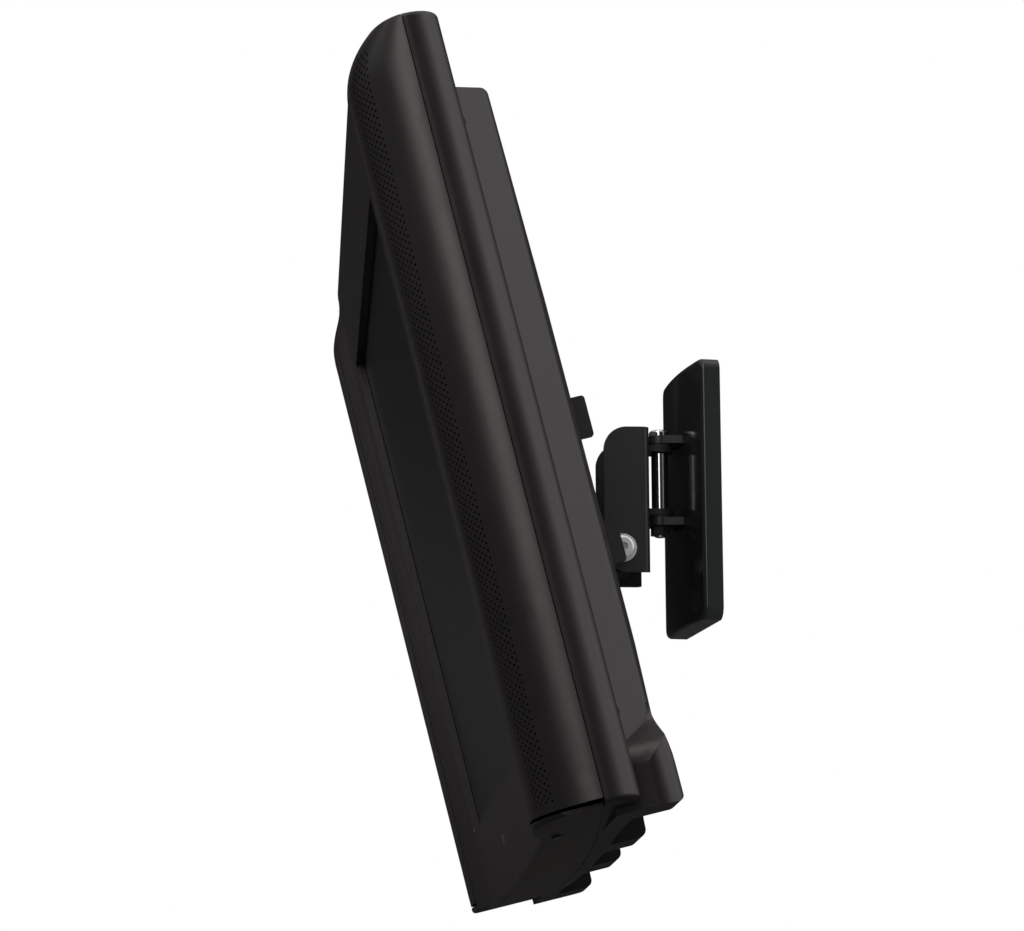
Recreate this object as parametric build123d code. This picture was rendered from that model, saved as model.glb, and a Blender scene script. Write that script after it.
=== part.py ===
from build123d import *
import math
import os

# Television on a tilt and swivel bracket. Lengths in millimetres, angles in degrees.
# The row frame stands on the mounting plate: origin in the middle of its back face, Z up, the wall on the +Y side.
# The set is drawn in its own frame first: origin in the middle of the screen opening, Y rearwards, Z up the screen.

# Pose at rest
tilt_rest = 14.0
swivel_rest = -8.5

# Screen and bezel
screen_width = 406.0
screen_height = 305.0
screen_corner_radius = 2.0
screen_recess = 5.0
lip_thickness = 1.8
shell_wall = 2.5
body_half_width = 311.75
body_top = 203.6
body_bottom_ends = 195.0
body_bottom_middle = 203.5
underside_end_inset = 8.75
edge_rounding = 2.4
past_body = 20.0

# Rounded speaker columns
column_rise = 7.7
column_shoulder_radius = 37.0
column_shoulder_turn = 83.3
column_flank = 69.0
column_inner_reach = 25.0
column_split_gap = 0.5
column_foot = 191.5
column_foot_gap = 1.5
column_crown_drop = 31.0
column_crown_radius = 38.0
groove_depth = 1.0

# Seam between front and rear shells
seam_depth = 25.0
seam_gap = 0.45
seam_tongue_root = 2.2
seam_tongue_inset = 3.0
underside_seam_bulge = 9.0

# Rear shell
slab_depth = 44.0
slab_corner_radius = 16.5
housing_side_inset = 48.75
housing_foot_inset = 30.75
housing_foot_rise = 4.0
housing_side_depth = 63.0
housing_depth = 89.0
housing_flat_half = 80.0
housing_top = 171.5
housing_bottom = -168.0
housing_root = 12.0
housing_back_rounding = 30.0
housing_shoulder_rounding = 11.0
housing_rim_rounding = 5.0
housing_crown_top = 98.0
housing_crown_bottom = -96.0
base_side_inset = 27.75
base_depth = 67.5
base_flare_top = -148.0
base_flare_end = -186.0
base_side_flare_end = -178.0
base_bottom = -199.5
base_corner_radius = 14.0
base_edge_radius = 4.5
base_arch = -187.0
base_arch_radius = 9.0
foot_width = 44.0
inner_foot = (46.0, 94.0)
vent_count = 40
vent_pitch = 9.0
vent_width = 3.0
vent_height = 30.0
vent_middle = 138.0

# Connector bay in the rear shell
bay_half_width = 95.0
bay_height = 44.0
bay_middle = -122.0
bay_floor = 52.0
bay_wall = 2.0
plate_sheet = 1.5
inlet_width = 30.0
inlet_height = 22.0
inlet_depth = 20.0
inlet_at = 66.0
inlet_cavity = (24.0, 16.0, 15.0)
socket_radius = 4.2
socket_bore_radius = 2.2
socket_length = 9.0
socket_pitch = 16.0
socket_count = 6

# Display panel and electronics
panel_overlap = 7.0
panel_thickness = 3.0
panel_gap = 0.3
tray_depth = 14.0
tray_margin = 5.0
boss_height = 6.0
boss_radius = 4.0
board_thickness = 1.6
main_board_size = (170.0, 130.0)
power_board_size = (150.0, 110.0)
board_spacing = 95.0

# Speakers
driver_width = 32.0
driver_height = 120.0
driver_depth = 17.0
driver_front = 8.0
driver_flange = 2.0
driver_outward = 6.0
driver_pad = 8.0

# Keys
power_key_inset = 76.75
power_key_depth = 7.0
power_key_radius = 3.0
power_key_stand = 1.0
key_count = 4
key_pitch = 22.0
key_first = -150.0
key_length = 14.0
key_width = 6.0
key_stand = 1.2
key_depth = 14.0
key_clearance = 0.3
key_stem = 6.0
indicator_width = 22.0
indicator_height = 6.0
indicator_at = -176.0

# Set fixings
vesa_pitch = 75.0
vesa_middle = 0.0
vesa_hole_radius = 2.2
vesa_screw_radius = 2.0
vesa_screw_grip = 9.0
vesa_screw_head_radius = 4.0
vesa_screw_head = 2.6
vesa_screw_edge = 1.2
insert_radius = 4.0
insert_length = 12.0
insert_floor = 5.0
insert_wall = 3.0
cover_screw_radius = 1.9
cover_screw_head_radius = 3.6
cover_screw_head = 2.4
cover_screw_sink = 1.5
cross_slot_depth = 1.0
cross_slot_width = 0.9
cross_slot_reach = 0.62
cover_screw_side_inset = 19.75
cover_screw_rise = 150.0
cover_screw_top = (120.0, 187.0)
screw_grip = 11.0

# Set plate of the bracket
plate_half = 58.0
plate_thickness = 2.5
plate_corner_radius = 10.0
plate_side_bite = 26.0
plate_end_bite = 30.0
plate_bite_out = (10.0, 12.0)
plate_hole_pitches = (75.0, 100.0)
flange_reach = 8.0
flange_start = 24.0
flange_length = 24.0
flange_corner = 2.0
ear_thickness = 3.0
ear_end_radius = 11.0
ear_root = 34.0
washer_thickness = 1.0
washer_radius = 8.0
ear_running_gap = 0.3

# Tilt axis in the set's frame
tilt_axis_behind = 103.0
tilt_axis_below = 36.0
tilt_bolt_radius = 4.0
tilt_running_clearance = 0.05
tilt_head_radius = 7.0
tilt_head_height = 4.4
tilt_socket_flat = 5.0
tilt_socket_depth = 3.0
tilt_nut_flat = 13.0
tilt_nut_height = 6.8
seat_clearance = 0.02

# Fork, from the swivel pin's axis and the plate's middle height
pin_to_tilt_axis = 24.4
tilt_axis_height = -32.9
fork_inner_half = 24.0
fork_sheet = 3.0
fork_back = 8.6
fork_front = 10.0
fork_top = 36.7
fork_under_axis = 13.4
fork_top_radius = 13.0
fork_bottom_radius = 12.0
fork_web_bottom = -16.5

# Swivel pin and its stack, about the pin's middle height
pin_to_back = 24.5
pin_middle = 10.0
pin_radius = 3.0
pin_running_clearance = 0.05
barrel_radius = 4.8
barrel_length = 33.0
bush_radius = 7.0
bush_thickness = 1.2
stack_gap = 0.15
lug_thickness = 4.5
lug_end_radius = 7.8
fork_lug_thickness = 3.5
pin_head_radius = 6.0
pin_head_height = 4.0
retainer_flat = 10.0
retainer_height = 5.0

# Mounting plate and cover
cover_width = 86.0
cover_height = 149.0
cover_depth_side = 11.0
cover_depth_middle = 14.0
cover_wall = 2.0
cover_corner_radius = 7.0
cover_edge_radius = 3.0
cover_slot_clearance = 0.8
base_plate_thickness = 3.0
base_plate_margin = 0.4
wall_hole_radius = 3.25
wall_hole_spacing_x = 50.0
wall_hole_spacing_z = 120.0
yoke_root_half = 12.0
yoke_flange_thickness = 3.0
yoke_flange_reach = 12.0
yoke_screw_radius = 2.5
yoke_screw_head_radius = 4.5
yoke_screw_head_height = 2.2
yoke_screw_half_spacing = 6.0


def box(x, y, z):
    """A box from its low and high ends on each axis."""
    solid = Box(x[1] - x[0], y[1] - y[0], z[1] - z[0])
    return Pos((x[0] + x[1]) / 2, (y[0] + y[1]) / 2, (z[0] + z[1]) / 2) * solid


def rod(radius, start, length, direction):
    """A round rod from a start point along a direction."""
    plane = Plane(origin=start, z_dir=direction)
    return plane * Cylinder(radius, length, align=(Align.CENTER, Align.CENTER, Align.MIN))


def hexagon(flat, start, length, direction):
    """A hexagonal bar, by its width across flats."""
    plane = Plane(origin=start, z_dir=direction)
    return extrude(plane * RegularPolygon(flat / 2, 6, major_radius=False), length)


def cross_slot(head_radius, x, y, z):
    """Cross recess of a screw head, about the middle of its depth."""
    span = 2 * head_radius * cross_slot_reach
    across = Box(span, cross_slot_depth, cross_slot_width)
    upright = Box(cross_slot_width, cross_slot_depth, span)
    return Pos(x, y, z) * (across + upright)


def bottom_height(x, inset=0.0):
    """Height of the bowed underside at a distance from the middle."""
    bow = body_bottom_middle - body_bottom_ends
    radius = (underside_half() ** 2 + bow ** 2) / (2 * bow)
    return -body_bottom_middle + inset + radius - math.sqrt(radius ** 2 - x ** 2)


def underside_half():
    """Half length of the bowed underside."""
    return body_half_width - underside_end_inset


def column_centre():
    """Centre of the shoulder arc of a column, as x and y."""
    turn = math.radians(column_shoulder_turn)
    peak = body_half_width - column_shoulder_radius * math.sin(turn)
    return peak, column_shoulder_radius - column_rise


def flat_bezel_half():
    """Half width of the flat bezel, up to the flanks of the columns."""
    return column_centre()[0] - column_flank


def column_split():
    """Distance from the middle to the joint between bezel and column."""
    return column_centre()[0] - column_inner_reach


def driver_middle():
    """Distance of a speaker driver from the middle."""
    return column_centre()[0] + driver_outward


def crown_recess(rise, inset=0.0):
    """How far a column's crest has fallen back at a height above the start of its crown."""
    radius = column_crown_radius - inset
    return radius - math.sqrt(radius ** 2 - rise ** 2)


def body_outline(inset=0.0, recess=0.0):
    """Horizontal outline of both shells: bezel, columns, sides and rounded rear corners."""
    cx, cy = column_centre()
    r = column_shoulder_radius - inset
    side = body_half_width - inset
    turn = math.asin((side - cx) / r)
    side_y = cy - r * math.cos(turn)
    crest = inset - column_rise
    squash = (side_y - crest - recess) / (side_y - crest)
    crest = crest + recess
    pull = 4 / 3 * math.tan(turn / 4) * r
    end = (side - pull * math.cos(turn), side_y - pull * math.sin(turn) * squash)
    flat = flat_bezel_half()
    middle = (flat + cx) / 2
    back = slab_depth - inset
    corner_start = slab_depth - slab_corner_radius
    corner_end = body_half_width - slab_corner_radius
    corner = (slab_corner_radius - inset) * math.cos(math.radians(45))
    lines = []
    for s in (1, -1):
        lines += [
            Line((0, inset), (s * flat, inset)),
            Bezier((s * flat, inset), (s * middle, inset), (s * middle, crest), (s * cx, crest)),
            Bezier((s * cx, crest), (s * (cx + pull), crest), (s * end[0], end[1]), (s * side, side_y)),
            Line((s * side, side_y), (s * side, corner_start)),
            ThreePointArc(
                (s * side, corner_start),
                (s * (corner_end + corner), corner_start + corner),
                (s * corner_end, back),
            ),
            Line((s * corner_end, back), (0, back)),
        ]
    return make_face(Curve() + lines)


def body_elevation(inset=0.0):
    """Front elevation of the shells, with the bowed underside, as a deep slab."""
    reach = body_half_width + past_body
    top = body_top - inset
    low = bottom_height(reach, inset)
    lines = [
        Line((-reach, low), (-reach, top)),
        Line((-reach, top), (reach, top)),
        Line((reach, top), (reach, low)),
        ThreePointArc((reach, low), (0, bottom_height(0, inset)), (-reach, low)),
    ]
    face = make_face(Plane.XZ * (Curve() + lines))
    return extrude(face, 2 * (slab_depth + past_body), both=True)


def body_form(inset=0.0):
    """Plain form of the shells: straight below, with the columns' crowns lofted above."""
    start = body_top - column_crown_drop
    height = column_crown_drop - inset
    straight = Pos(0, 0, start - 2 * body_top) * extrude(body_outline(inset), 2 * body_top - height / 2)
    sections = [Pos(0, 0, start + height * step / 4) * body_outline(inset) for step in (-2, -1, 0)]
    for step in (1, 2, 3, 4):
        rise = height * step / 4
        outline = body_outline(inset, crown_recess(rise, inset))
        sections.append(Pos(0, 0, start + rise) * outline)
    return straight + loft(sections)


def body_block():
    """Both shells as one solid block, with its top and bottom edges rounded."""
    block = body_form() & body_elevation()
    top = block.edges().group_by(Axis.Z)[-1]
    block = fillet(top, edge_rounding)
    low = block.faces().sort_by(Axis.Z)[0].edges()
    return fillet(low, edge_rounding)


def body_cavity():
    """The hollow inside both shells."""
    return body_form(shell_wall) & body_elevation(shell_wall)


def depth_slice(low, high):
    """All of the space between two depths of the set."""
    reach = body_half_width + past_body
    return box((-reach, reach), (low, high), (-reach, reach))


def front_block(block):
    """Front part of the block, up to the seam."""
    return block & depth_slice(-column_rise - past_body, seam_depth)


def rear_block(block):
    """Rear part of the block, behind the seam."""
    return block & depth_slice(seam_depth + seam_gap, slab_depth + past_body)


def seam_tongue(grow=0.0):
    """Underside strip of the front shell that bows past the seam, down to the bottom."""
    half = underside_half() - seam_tongue_inset + grow
    start = seam_depth - seam_tongue_root
    lines = [
        Line((-half, start), (-half, seam_depth)),
        ThreePointArc((-half, seam_depth), (0, seam_depth + underside_seam_bulge + grow), (half, seam_depth)),
        Line((half, seam_depth), (half, start)),
        Line((half, start), (-half, start)),
    ]
    strip = extrude(make_face(Curve() + lines), -2 * body_top)
    return strip & box((-half, half), (0, slab_depth), (-body_top - 5, -body_bottom_ends + shell_wall + grow))


def split_groove(side):
    """V groove down the front where a column meets the bezel."""
    depth = groove_depth
    at = column_split()
    t = (at - flat_bezel_half()) / column_flank
    surface = -column_rise * (3 * t ** 2 - 2 * t ** 3)
    return Pos(side * at, surface, 0) * Rot(0, 0, 45) * Box(depth * 1.4, depth * 1.4, 3 * body_top)


def column_region(side, inset=0.0):
    """The space that belongs to one column."""
    low = column_split() + column_split_gap / 2 + inset
    xs = sorted((side * low, side * (body_half_width + past_body)))
    ys = (-column_rise - past_body, seam_depth)
    return box(xs, ys, (-column_foot + inset, body_top + past_body))


def screen_cut(grow, depth):
    """A rounded window through the bezel, grown past the screen opening."""
    size = (screen_width + 2 * grow, screen_height + 2 * grow)
    window = RectangleRounded(size[0], size[1], screen_corner_radius + grow)
    return extrude(Plane.XZ * window, -depth[1]) - extrude(Plane.XZ * window, -depth[0])


def speaker_cover(block, cavity, side):
    """One rounded column beside the screen, with its driver pads and screw bosses."""
    outer = front_block(block) & column_region(side)
    inner = cavity & column_region(side, shell_wall)
    for s in (1, -1):
        pad = Box(driver_width, 2 * driver_front, driver_pad)
        pad = Pos(side * driver_middle(), 0, s * (driver_height - 1.5 * driver_pad) / 2) * pad
        inner = inner - pad
    for x, z in cover_screw_places():
        inner = inner - boss(x, z)
    cover = outer - inner - split_groove(side)
    for x, z in cover_screw_places():
        cover = cover - screw_pilot(x, z)
    return cover.solids().sort_by(SortBy.VOLUME)[-1]


def boss(x, z):
    """Screw boss through both shells, before their walls end it."""
    return rod(boss_radius, (x, -past_body, z), slab_depth + 2 * past_body, (0, 1, 0))


def screw_pilot(x, z):
    """Hole in a front boss for a shell screw."""
    return rod(cover_screw_radius + seat_clearance, (x, seam_depth - screw_grip - 1, z), screw_grip + 3, (0, 1, 0))


def key_places():
    """Middles of the keys along the top edge."""
    return [key_first + i * key_pitch for i in range(key_count)]


def front_bezel(block, cavity, tongue):
    """The moulded frame round the screen, with the bowed underside."""
    split = column_split() - column_split_gap / 2
    depths = (-column_rise - past_body, seam_depth)
    middle = box((-split, split), depths, (-body_top - past_body, body_top + past_body))
    chin_top = -column_foot - column_foot_gap
    chin = box((-underside_half(), underside_half()), depths, (-body_top - past_body, chin_top))
    room = box((shell_wall - split, split - shell_wall), (-past_body, slab_depth), (-body_top, body_top)) & cavity
    for x, z in cover_screw_places():
        room = room - boss(x, z)
    frame = (front_block(block) & (middle + chin)) - room
    strip = (block & tongue) - cavity
    frame = frame + strip
    lip = screen_cut(lip_thickness, (0.5, screen_recess))
    frame = frame + lip
    frame = frame - screen_cut(0, (-20, screen_recess + 1))
    for side in (1, -1):
        frame = frame - split_groove(side)
    for x, z in cover_screw_places():
        frame = frame - screw_pilot(x, z)
    frame = frame - indicator_solid(0.15)
    frame = frame - power_key_solid(key_clearance)
    for x in key_places():
        frame = frame - top_key_solid(x, key_clearance)
    return frame.solids().sort_by(SortBy.VOLUME)[-1]


def indicator_solid(grow=0.0):
    """Small dark window below the screen."""
    shape = RectangleRounded(indicator_width + 2 * grow, indicator_height + 2 * grow, indicator_height / 2 - 0.1)
    body = extrude(Plane.XZ * shape, -(shell_wall + 1.0 + grow))
    return Pos(0, 0, indicator_at) * body


def indicator_window():
    """The window with a flange behind the bezel."""
    flange = Pos(0, shell_wall + 0.6, indicator_at) * Box(indicator_width + 6, 1.0, indicator_height + 4)
    return indicator_solid() + flange


def power_key_at():
    """Distance of the power key from the middle."""
    return body_half_width - power_key_inset


def power_key_solid(grow=0.0):
    """Shank of the power key, standing out of the underside."""
    low = bottom_height(power_key_at()) - power_key_stand
    start = (power_key_at(), power_key_depth, low - grow)
    return rod(power_key_radius + grow, start, key_stem + power_key_stand + grow, (0, 0, 1))


def power_key():
    """Power key with its inner collar."""
    top = bottom_height(power_key_at()) + key_stem
    collar = rod(power_key_radius + 1.5, (power_key_at(), power_key_depth, top), 1.5, (0, 0, 1))
    return power_key_solid() + collar


def top_key_solid(x, grow=0.0):
    """Cap of one key on the top edge."""
    length = key_length + 2 * grow
    width = key_width + 2 * grow
    cap = extrude(RectangleRounded(length, width, width / 2 - 0.1), key_stem + key_stand + grow)
    return Pos(x, key_depth, body_top - key_stem) * cap


def top_key(x):
    """One key with its inner collar."""
    low = body_top - key_stem
    return top_key_solid(x) + Pos(x, key_depth, low - 0.75) * Box(key_length + 3, key_width + 2, 1.5)


def housing_half():
    """Half width of the deep middle of the rear shell, at its shoulder."""
    return body_half_width - housing_side_inset


def housing_block(inset=0.0):
    """Deep middle of the rear shell: a crowned block, from its plan and its side profile."""
    front = slab_depth - housing_root
    foot = body_half_width - housing_foot_inset
    half = housing_half()
    right = [
        (housing_flat_half, housing_depth),
        (half, housing_side_depth),
        (foot, slab_depth - housing_foot_rise),
        (foot, front),
    ]
    left = [(-x, y) for x, y in reversed(right)]
    plan = make_face(Polyline(right + left, close=True))
    plan = fillet(plan.vertices().group_by(Axis.Y)[-1], housing_back_rounding)
    shoulder = plan.vertices().sort_by(lambda v: abs(v.Y - housing_side_depth) + abs(abs(v.X) - half))[:2]
    plan = fillet(shoulder, housing_shoulder_rounding)
    side_points = [
        (front, housing_top),
        (housing_side_depth, housing_top),
        (housing_depth, housing_crown_top),
        (housing_depth, housing_crown_bottom),
        (housing_side_depth, housing_bottom),
        (front, housing_bottom),
    ]
    side = make_face(Polyline(side_points, close=True))
    side = fillet(side.vertices().group_by(Axis.X)[-1], housing_back_rounding)
    rim = side.vertices().sort_by(lambda v: abs(v.X - housing_side_depth) + abs(v.Y - housing_top))[:1]
    side = fillet(rim, housing_rim_rounding)
    if inset:
        plan = offset(plan, -inset)
        side = offset(side, -inset)
    reach = body_half_width + past_body
    tall = extrude(plan, reach, both=True)
    wide = extrude(Plane.YZ * side, reach, both=True)
    return tall & wide


def flare(start, end):
    """S-shaped run between two points of a profile, upright at both ends."""
    middle = (start[1] + end[1]) / 2
    return Bezier(start, (start[0], middle), (end[0], middle), end)


def base_block(inset=0.0):
    """Flared lower part of the rear shell, with four feet and arches between them."""
    front = slab_depth - housing_root + inset
    depth = base_depth - inset
    neck = housing_side_depth - inset
    low = base_bottom + inset
    top = base_flare_top - inset
    side_lines = [
        Line((front, top), (neck, top)),
        flare((neck, top), (depth, base_flare_end)),
        Line((depth, base_flare_end), (depth, low)),
        Line((depth, low), (front, low)),
        Line((front, low), (front, top)),
    ]
    side = make_face(Curve() + side_lines)
    heel = side.vertices().sort_by(lambda v: abs(v.X - depth) + abs(v.Y - low))[:1]
    side = fillet(heel, base_edge_radius)
    half = body_half_width - base_side_inset - inset
    waist = housing_half() - inset
    front_lines = [
        Line((-waist, top), (waist, top)),
        flare((waist, top), (half, base_side_flare_end)),
        Line((half, base_side_flare_end), (half, low)),
        Line((half, low), (-half, low)),
        Line((-half, low), (-half, base_side_flare_end)),
        flare((-waist, top), (-half, base_side_flare_end)),
    ]
    elevation = make_face(Curve() + front_lines)
    plan = Pos(0, (front + depth) / 2) * Rectangle(2 * half, depth - front)
    plan = fillet(plan.vertices().group_by(Axis.Y)[-1], base_corner_radius - inset)
    reach = body_half_width + past_body
    block = extrude(plan, reach, both=True) & extrude(Plane.YZ * side, reach, both=True)
    block = block & extrude(Plane.XZ * elevation, reach, both=True)
    return block - base_arches(inset)


def base_arches(inset=0.0):
    """The openings between the feet."""
    inner, outer = inner_foot
    end_foot = body_half_width - base_side_inset - foot_width
    drop = body_bottom_middle + past_body
    arches = Part()
    for low, high in ((outer, end_foot), (-inner, inner), (-end_foot, -outer)):
        width = high - low + 2 * inset
        shape = RectangleRounded(width, 2 * (drop + base_arch + inset), base_arch_radius)
        prism = Plane.XZ.offset(inset - slab_depth) * shape
        arches = arches + Pos((low + high) / 2, 0, -drop) * extrude(prism, -(base_depth + past_body))
    return arches


def vents():
    """A row of slots through the upper slope of the rear shell."""
    slot = Box(vent_width, 80, vent_height)
    first = -(vent_count - 1) / 2 * vent_pitch
    return [Pos(first + i * vent_pitch, slab_depth + 30, vent_middle) * slot for i in range(vent_count)]


def vesa_places():
    """The four fixing points on the rear shell."""
    half = vesa_pitch / 2
    return [(x, vesa_middle + z) for x in (-half, half) for z in (-half, half)]


def cover_screw_places():
    """Fixing points of the rear shell along the columns and edges."""
    side = body_half_width - cover_screw_side_inset
    corners = [(sx * side, sz * cover_screw_rise) for sx in (1, -1) for sz in (1, -1)]
    return corners + [(-cover_screw_top[0], cover_screw_top[1]), cover_screw_top]


def rear_cover(block, cavity):
    """The rear shell: slab, crowned housing, flared base, vents, connector bay and bosses."""
    shell = rear_block(block) + housing_block() + base_block()
    bay_outer = bay_solid(bay_wall)
    hollow = (cavity + housing_block(shell_wall) + base_block(shell_wall)) - bay_outer
    deep = insert_length + insert_floor
    for x, z in vesa_places():
        hollow = hollow - rod(insert_radius + insert_wall, (x, housing_depth - deep, z), deep, (0, 1, 0))
    for x, z in cover_screw_places():
        hollow = hollow - boss(x, z)
    shell = shell - hollow - bay_solid(0) - vents()
    for x, z in vesa_places():
        shell = shell - rod(insert_radius, (x, housing_depth - insert_length, z), insert_length + 5, (0, 1, 0))
    for x, z in cover_screw_places():
        shell = shell - rod(cover_screw_radius + 0.1, (x, seam_depth - 1, z), slab_depth, (0, 1, 0))
        shell = shell - rod(cover_screw_head_radius + 0.3, (x, slab_depth - cover_screw_sink, z), 10, (0, 1, 0))
    shell = shell - seam_tongue(seam_gap)
    cut = inlet_width / 2 + key_clearance
    cut_z = inlet_height / 2 + key_clearance
    shell = shell - box((inlet_at - cut, inlet_at + cut), (20, bay_floor + 1), (bay_middle - cut_z, bay_middle + cut_z))
    return shell.solids().sort_by(SortBy.VOLUME)[-1]


def bay_solid(grow):
    """Space of the connector bay, open to the rear."""
    half = bay_half_width + grow
    low = bay_middle - bay_height / 2 - grow
    high = bay_middle + bay_height / 2 + grow
    return box((-half, half), (bay_floor - grow, housing_depth + 20 - grow), (low, high))


def lcd_panel():
    """The display panel behind the bezel's lip."""
    front = screen_recess + panel_gap
    size = (screen_width + 2 * panel_overlap, screen_height + 2 * panel_overlap)
    panel = box((-size[0] / 2, size[0] / 2), (front, front + panel_thickness), (-size[1] / 2, size[1] / 2))
    return chamfer(panel.edges().filter_by(Axis.Y), 1.0)


def tray_front():
    """Depth of the tray's front face, behind the panel."""
    return screen_recess + panel_gap + panel_thickness + panel_gap


def board_places():
    """Middles and sizes of the two circuit boards, as x, z and size."""
    return [(-board_spacing, 10.0, main_board_size), (board_spacing, 10.0, power_board_size)]


def board_holes(size):
    """Corner holes of a board, from its middle."""
    return [(sx * (size[0] / 2 - 5), sz * (size[1] / 2 - 5)) for sx in (-1, 1) for sz in (-1, 1)]


def panel_chassis():
    """Pressed steel tray that carries the panel and the boards."""
    front = tray_front()
    width = screen_width + 2 * (panel_overlap + tray_margin)
    height = screen_height + 2 * (panel_overlap + tray_margin)
    outer = extrude(Plane.XZ.offset(-front) * RectangleRounded(width, height, 6), -tray_depth)
    inner = extrude(
        Plane.XZ.offset(-front) * RectangleRounded(width - 2 * plate_sheet, height - 2 * plate_sheet, 4.5),
        -(tray_depth - plate_sheet),
    )
    tray = outer - inner
    tray = tray - [
        Pos(x, front + tray_depth, z) * Rot(90, 0, 0) * Cylinder(9, 10)
        for x in (-180, 0, 180)
        for z in (-130, 130)
    ]
    for x, z, size in board_places():
        for hx, hz in board_holes(size):
            at = (x + hx, front + tray_depth, z + hz)
            tray = tray + rod(boss_radius, at, boss_height, (0, 1, 0))
            tray = tray - rod(1.3, at, boss_height + 1, (0, 1, 0))
    half_w = width / 2 - plate_sheet
    ribs = [
        box((-half_w, half_w), (front, front + tray_depth - plate_sheet), (z - 1, z + 1))
        for z in (-90, 0, 90)
    ]
    return tray + ribs


def circuit_board(index):
    """One circuit board with its parts, standing on the tray's bosses."""
    x, z, size = board_places()[index]
    front = tray_front() + tray_depth + boss_height
    board = box(
        (x - size[0] / 2, x + size[0] / 2),
        (front, front + board_thickness),
        (z - size[1] / 2, z + size[1] / 2),
    )
    back = front + board_thickness
    if index == 0:
        parts = [
            (-30, 20, 34, 34, 3.0),
            (30, 25, 22, 22, 2.0),
            (40, -20, 30, 16, 2.0),
            (-40, -30, 26, 14, 8.0),
            (10, -35, 40, 8, 6.0),
        ]
        board = board + [Pos(x + a, back + t / 2, z + b) * Box(w, t, h) for a, b, w, h, t in parts]
    else:
        board = board + Pos(x - 20, back + 9, z + 12) * Box(42, 18, 36)
        for a, b in ((30, 30), (30, 5), (50, 18)):
            board = board + rod(9, (x + a, back, z + b), 25, (0, 1, 0))
        board = board + Pos(x + 15, back + 8, z - 30) * Box(60, 16, 4)
    holes = [rod(1.7, (x + hx, front - 1, z + hz), 10, (0, 1, 0)) for hx, hz in board_holes(size)]
    return board - holes


def speaker_driver(side):
    """Oblong driver on the pads of a column."""
    flange = extrude(
        Plane.XZ.offset(-driver_front) * RectangleRounded(driver_width, driver_height, 5),
        -driver_flange,
    )
    basket = extrude(
        Plane.XZ.offset(-driver_front - driver_flange) * RectangleRounded(driver_width - 5, driver_height - 10, 9),
        -(driver_depth - driver_flange - 6),
        taper=14,
    )
    magnet = rod(11.5, (0, driver_front + driver_depth - 9, 0), 9, (0, 1, 0))
    cone = extrude(
        Plane.XZ.offset(-driver_front) * RectangleRounded(driver_width - 8, driver_height - 14, 9),
        -3.0,
        taper=30,
    )
    return Pos(side * driver_middle(), 0, 0) * (flange + basket + magnet - cone)


def connector_plate():
    """Sheet on the floor of the bay, with holes for the sockets and the inlet."""
    half = bay_half_width - key_clearance
    high = bay_height / 2 - key_clearance
    plate = box((-half, half), (bay_floor, bay_floor + plate_sheet), (bay_middle - high, bay_middle + high))
    for x in socket_places():
        plate = plate - rod(socket_radius, (x, bay_floor - 1, bay_middle), 5, (0, 1, 0))
    cut = inlet_width / 2 + key_clearance
    cut_z = inlet_height / 2 + key_clearance
    return plate - box((inlet_at - cut, inlet_at + cut), (0, 80), (bay_middle - cut_z, bay_middle + cut_z))


def socket_places():
    """Middles of the round signal sockets."""
    first = -(bay_half_width - 17)
    return [first + i * socket_pitch for i in range(socket_count)]


def signal_sockets():
    """Round sockets standing in the connector plate."""
    group = []
    for x in socket_places():
        body = rod(socket_radius - 0.05, (x, bay_floor, bay_middle), socket_length, (0, 1, 0))
        group.append(body - rod(socket_bore_radius, (x, bay_floor + 1.5, bay_middle), socket_length, (0, 1, 0)))
    return group


def power_inlet():
    """Mains inlet with three pins in its cavity."""
    back = bay_floor + 3.5
    body = box(
        (inlet_at - inlet_width / 2, inlet_at + inlet_width / 2),
        (back - inlet_depth + 3.0, back),
        (bay_middle - inlet_height / 2, bay_middle + inlet_height / 2),
    )
    body = chamfer(body.edges().filter_by(Axis.Y), 1.5)
    w, h, d = inlet_cavity
    cavity = box((inlet_at - w / 2, inlet_at + w / 2), (back - d, back + 1), (bay_middle - h / 2, bay_middle + h / 2))
    cavity = chamfer(cavity.edges().filter_by(Axis.Y).group_by(Axis.Z)[-1], 4)
    pins = [
        box((inlet_at + dx - 1, inlet_at + dx + 1), (back - d, back - 2), (bay_middle + dz - 2, bay_middle + dz + 2))
        for dx, dz in ((-7, -2), (0, 2), (7, -2))
    ]
    return body - cavity + pins


def vesa_inserts():
    """Threaded inserts in the rear shell's fixing bosses."""
    group = []
    for x, z in vesa_places():
        start = (x, housing_depth - insert_length, z)
        body = rod(insert_radius - seat_clearance, start, insert_length, (0, 1, 0))
        group.append(body - rod(vesa_screw_radius + seat_clearance, start, insert_length, (0, 1, 0)))
    return group


def vesa_screws():
    """Screws that hold the set on its plate."""
    group = []
    back = housing_depth + plate_thickness
    for x, z in vesa_places():
        long = plate_thickness + vesa_screw_grip
        shank = rod(vesa_screw_radius, (x, back - long, z), long, (0, 1, 0))
        head = rod(vesa_screw_head_radius, (x, back, z), vesa_screw_head, (0, 1, 0))
        head = fillet(head.edges().filter_by(GeomType.CIRCLE).sort_by(Axis.Y)[-1], vesa_screw_edge)
        group.append(shank + head - cross_slot(vesa_screw_head_radius, x, back + vesa_screw_head, z))
    return group


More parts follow.
